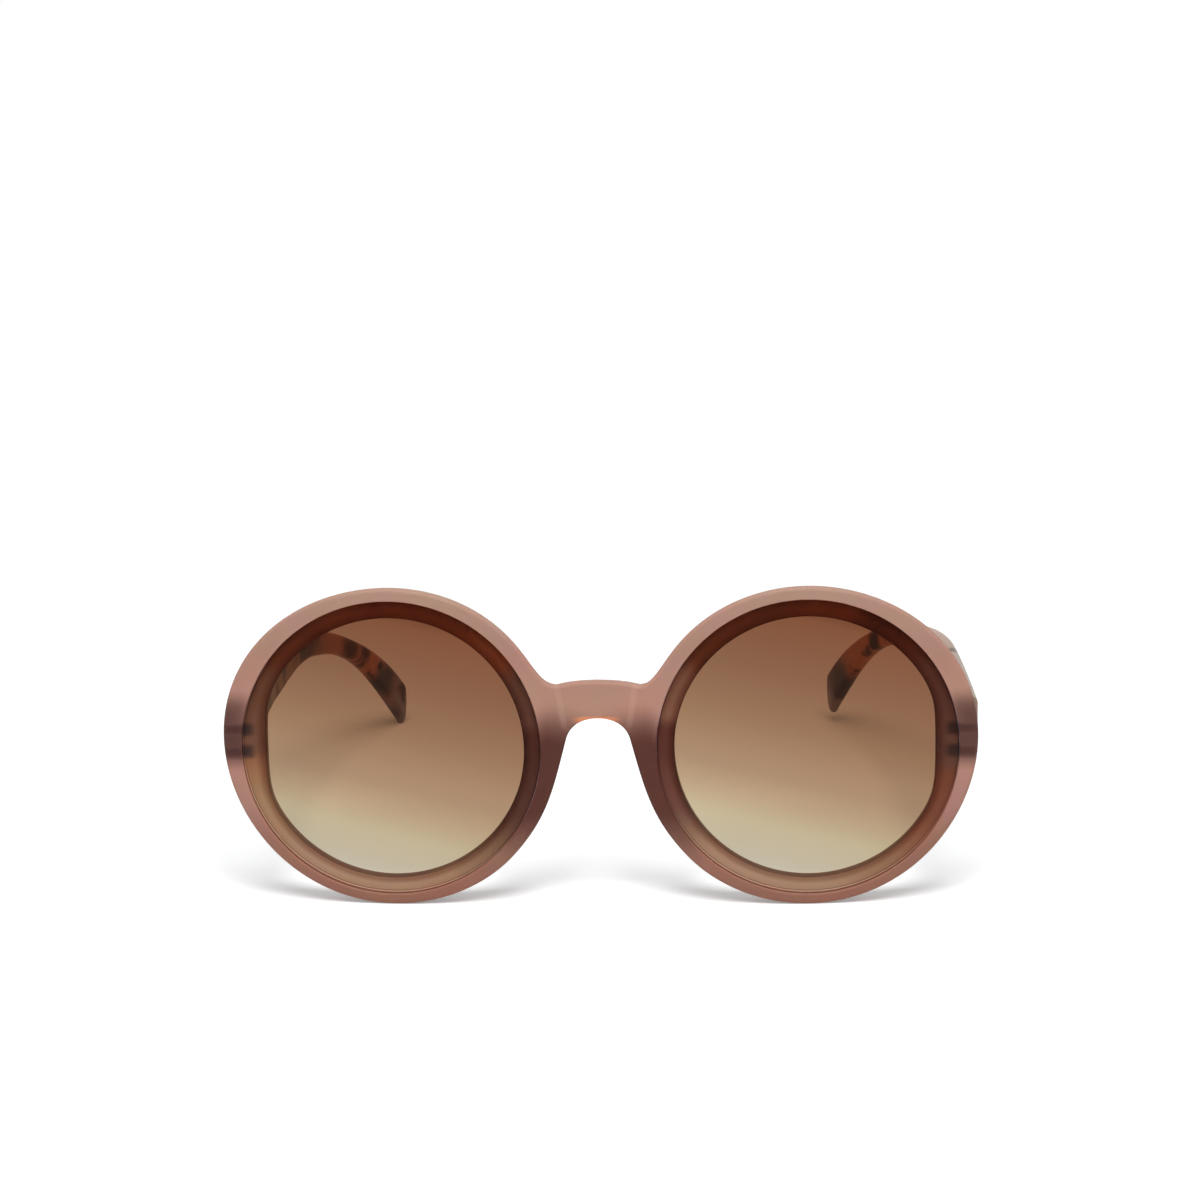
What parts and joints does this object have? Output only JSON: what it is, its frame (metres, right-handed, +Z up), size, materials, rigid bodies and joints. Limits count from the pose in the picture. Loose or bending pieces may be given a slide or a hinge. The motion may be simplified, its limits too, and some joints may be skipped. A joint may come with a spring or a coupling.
{
  "type": "sunglasses",
  "caption": "Round oversize sunglasses with thick frosted rims, tinted gradient lenses, a keyless bridge and curved temples that fold on screw hinges.",
  "frame": {"origin": "centre of the bounding box in X and Y, on the floor under the rims and the temple tip", "axes": "+X to the viewer's right, the wearer's left; +Y back along the temples; +Z up"},
  "size_m": [0.1452, 0.136, 0.0622],
  "materials": {
    "rose_frosted_plastic": "frosted, slightly see-through",
    "brown_gradient_lens": "tinted, darker at the top",
    "tortoise_acetate": "polished, mottled cream, amber and dark brown",
    "gunmetal": "dark satin",
    "screw_steel": "bright",
    "core_wire_steel": "plain"
  },
  "bodies": {
    "front": {"front_frame": "rose_frosted_plastic", "lens_left": "brown_gradient_lens", "hinge_front_leaf_left": "gunmetal", "hinge_screw_left": "screw_steel", "lens_right": "brown_gradient_lens", "hinge_front_leaf_right": "gunmetal", "hinge_screw_right": "screw_steel"},
    "temple_left": {"temple_left": "tortoise_acetate", "temple_core_left": "core_wire_steel", "hinge_temple_leaf_left": "gunmetal"},
    "temple_right": {"temple_right": "tortoise_acetate", "temple_core_right": "core_wire_steel", "hinge_temple_leaf_right": "gunmetal"}
  },
  "joints": [
    {"name": "fold_left", "type": "hinge", "parent": "front", "child": "temple_left", "pos_m": [0.06811, -0.05868, 0.03164], "axis": [0, 0.0202, 0.9998], "range_deg": [-2.2, 78]},
    {"name": "fold_right", "type": "hinge", "parent": "front", "child": "temple_right", "pos_m": [-0.06769, -0.05868, 0.03164], "axis": [0, -0.0202, -0.9998], "range_deg": [0, 72]}
  ]
}
